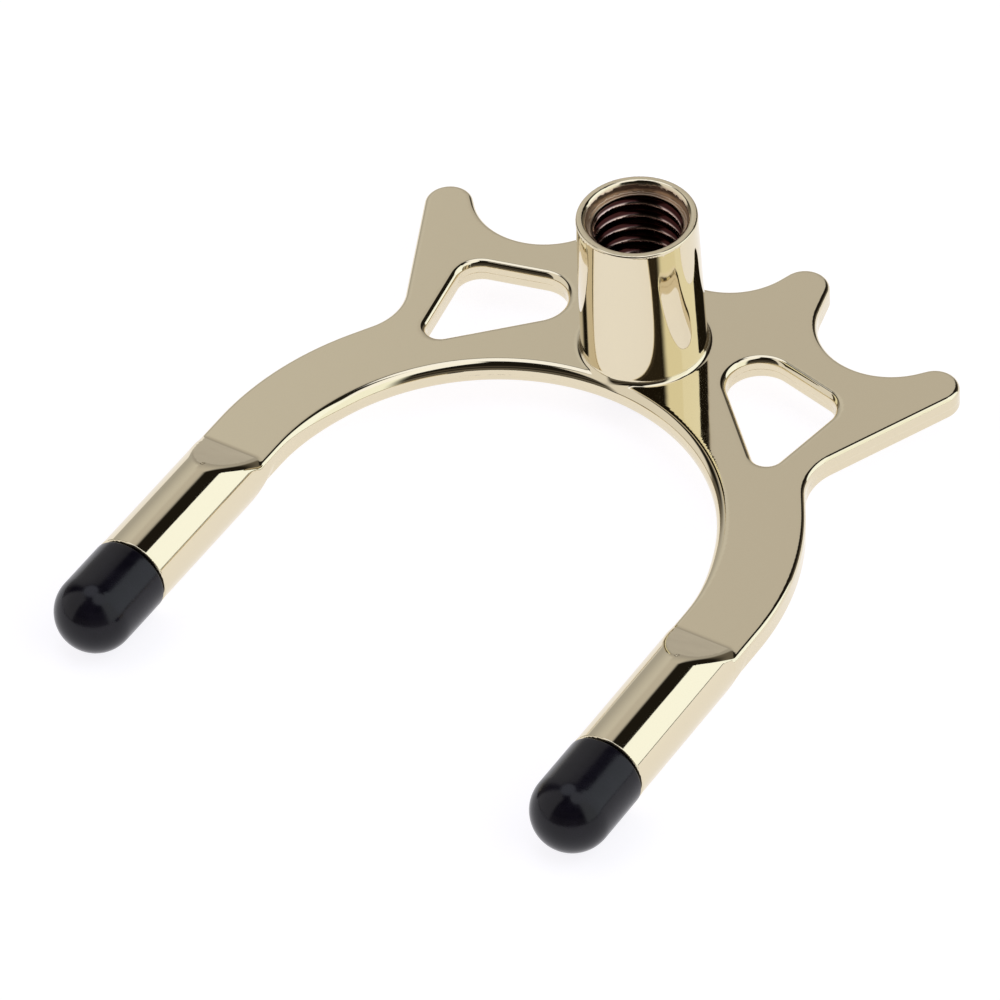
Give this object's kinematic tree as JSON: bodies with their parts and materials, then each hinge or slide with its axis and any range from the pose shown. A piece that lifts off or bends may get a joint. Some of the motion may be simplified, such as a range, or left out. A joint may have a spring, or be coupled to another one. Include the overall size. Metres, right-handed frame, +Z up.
{
  "type": "cue bridge head",
  "caption": "Plated metal bridge head for a billiard cue: notched plate with windows, threaded boss and round legs with rubber end caps.",
  "frame": {"origin": "bottom centre of the bounding box, with the plate level and the caps pushed home", "axes": "+Z up along the threaded boss, -Y along the legs towards the rubber caps, X across the plate"},
  "size_m": [0.1152, 0.1442, 0.0409],
  "materials": {
    "pale_gold_plate": "polished pale gold plating",
    "black_rubber": "satin moulded rubber"
  },
  "bodies": {
    "head": {"bridge_head": "pale_gold_plate"},
    "left_cap": {"left_rubber_cap": "black_rubber"},
    "right_cap": {"right_rubber_cap": "black_rubber"}
  },
  "joints": [
    {"name": "left_cap_pull_off", "type": "slide", "parent": "head", "child": "left_cap", "axis": [0, -1, 0], "range_m": [0, 0.016]},
    {"name": "right_cap_pull_off", "type": "slide", "parent": "head", "child": "right_cap", "axis": [0, -1, 0], "range_m": [0, 0.016]}
  ]
}
